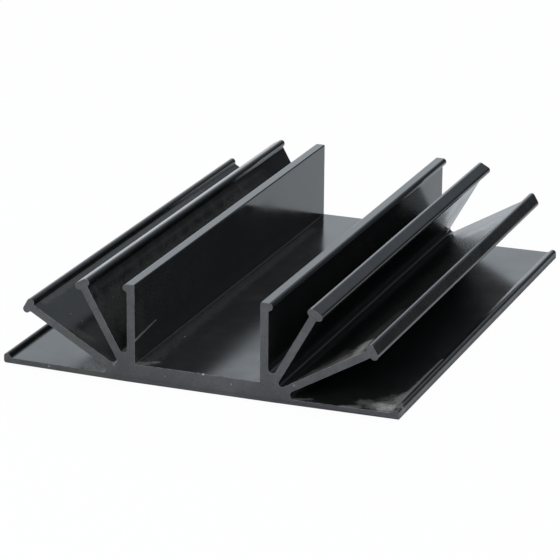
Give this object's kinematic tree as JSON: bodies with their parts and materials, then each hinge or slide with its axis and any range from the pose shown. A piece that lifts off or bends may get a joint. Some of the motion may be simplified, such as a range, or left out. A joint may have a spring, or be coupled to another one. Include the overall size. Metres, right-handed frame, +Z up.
{
  "type": "extruded heat sink",
  "caption": "Extruded aluminium heat sink: a flat base with a channel for a power device between upright fins, inclined fins fanned out on each side, and thin rimmed wings.",
  "frame": {"origin": "centre of the flat underside, on the surface that the heat sink stands on", "axes": "+X across the section, +Y along the extrusion, +Z up from the underside to the fin tops"},
  "size_m": [0.1, 0.129, 0.0243],
  "materials": {
    "black_anodised": "satin black anodised extrusion, with plain saw-cut ends in the same black"
  },
  "bodies": {
    "root": {"heat_sink": "black_anodised"}
  },
  "joints": []
}
